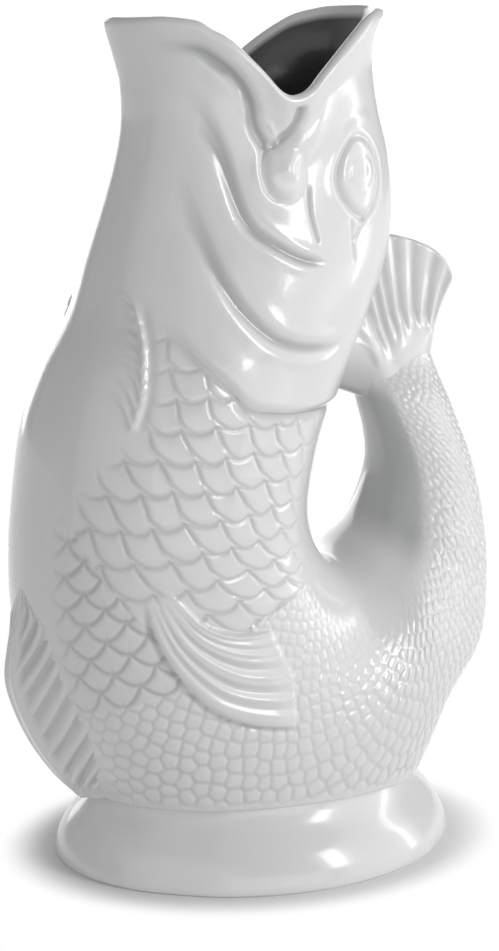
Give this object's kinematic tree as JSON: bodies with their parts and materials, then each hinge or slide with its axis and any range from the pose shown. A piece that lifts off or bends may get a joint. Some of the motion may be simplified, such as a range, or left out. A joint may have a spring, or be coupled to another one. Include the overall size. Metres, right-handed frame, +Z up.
{
  "type": "gurgle jug",
  "caption": "White glazed ceramic gurgle jug in the shape of an upright fish: open mouth as the spout, curled hollow tail as the handle, on an oval foot.",
  "frame": {"origin": "on the surface the jug stands on, under the middle of its length and width", "axes": "+Z up, -X towards the fish's belly and the lower jaw, +X towards the tail handle, Y across the fish, which is alike on both sides of Y = 0"},
  "size_m": [0.178, 0.117, 0.2767],
  "materials": {
    "glazed_ware": "glossy white glaze"
  },
  "bodies": {
    "root": {"foot": "glazed_ware", "belly_shell": "glazed_ware", "head_shell": "glazed_ware", "tail_handle": "glazed_ware", "tail_fan": "glazed_ware", "left_side_fin": "glazed_ware", "right_side_fin": "glazed_ware", "left_throat_fin": "glazed_ware", "right_throat_fin": "glazed_ware", "belly_fin": "glazed_ware", "left_gill_cover": "glazed_ware", "right_gill_cover": "glazed_ware", "left_jaw_bone": "glazed_ware", "right_jaw_bone": "glazed_ware", "left_eye": "glazed_ware", "right_eye": "glazed_ware"}
  },
  "joints": []
}
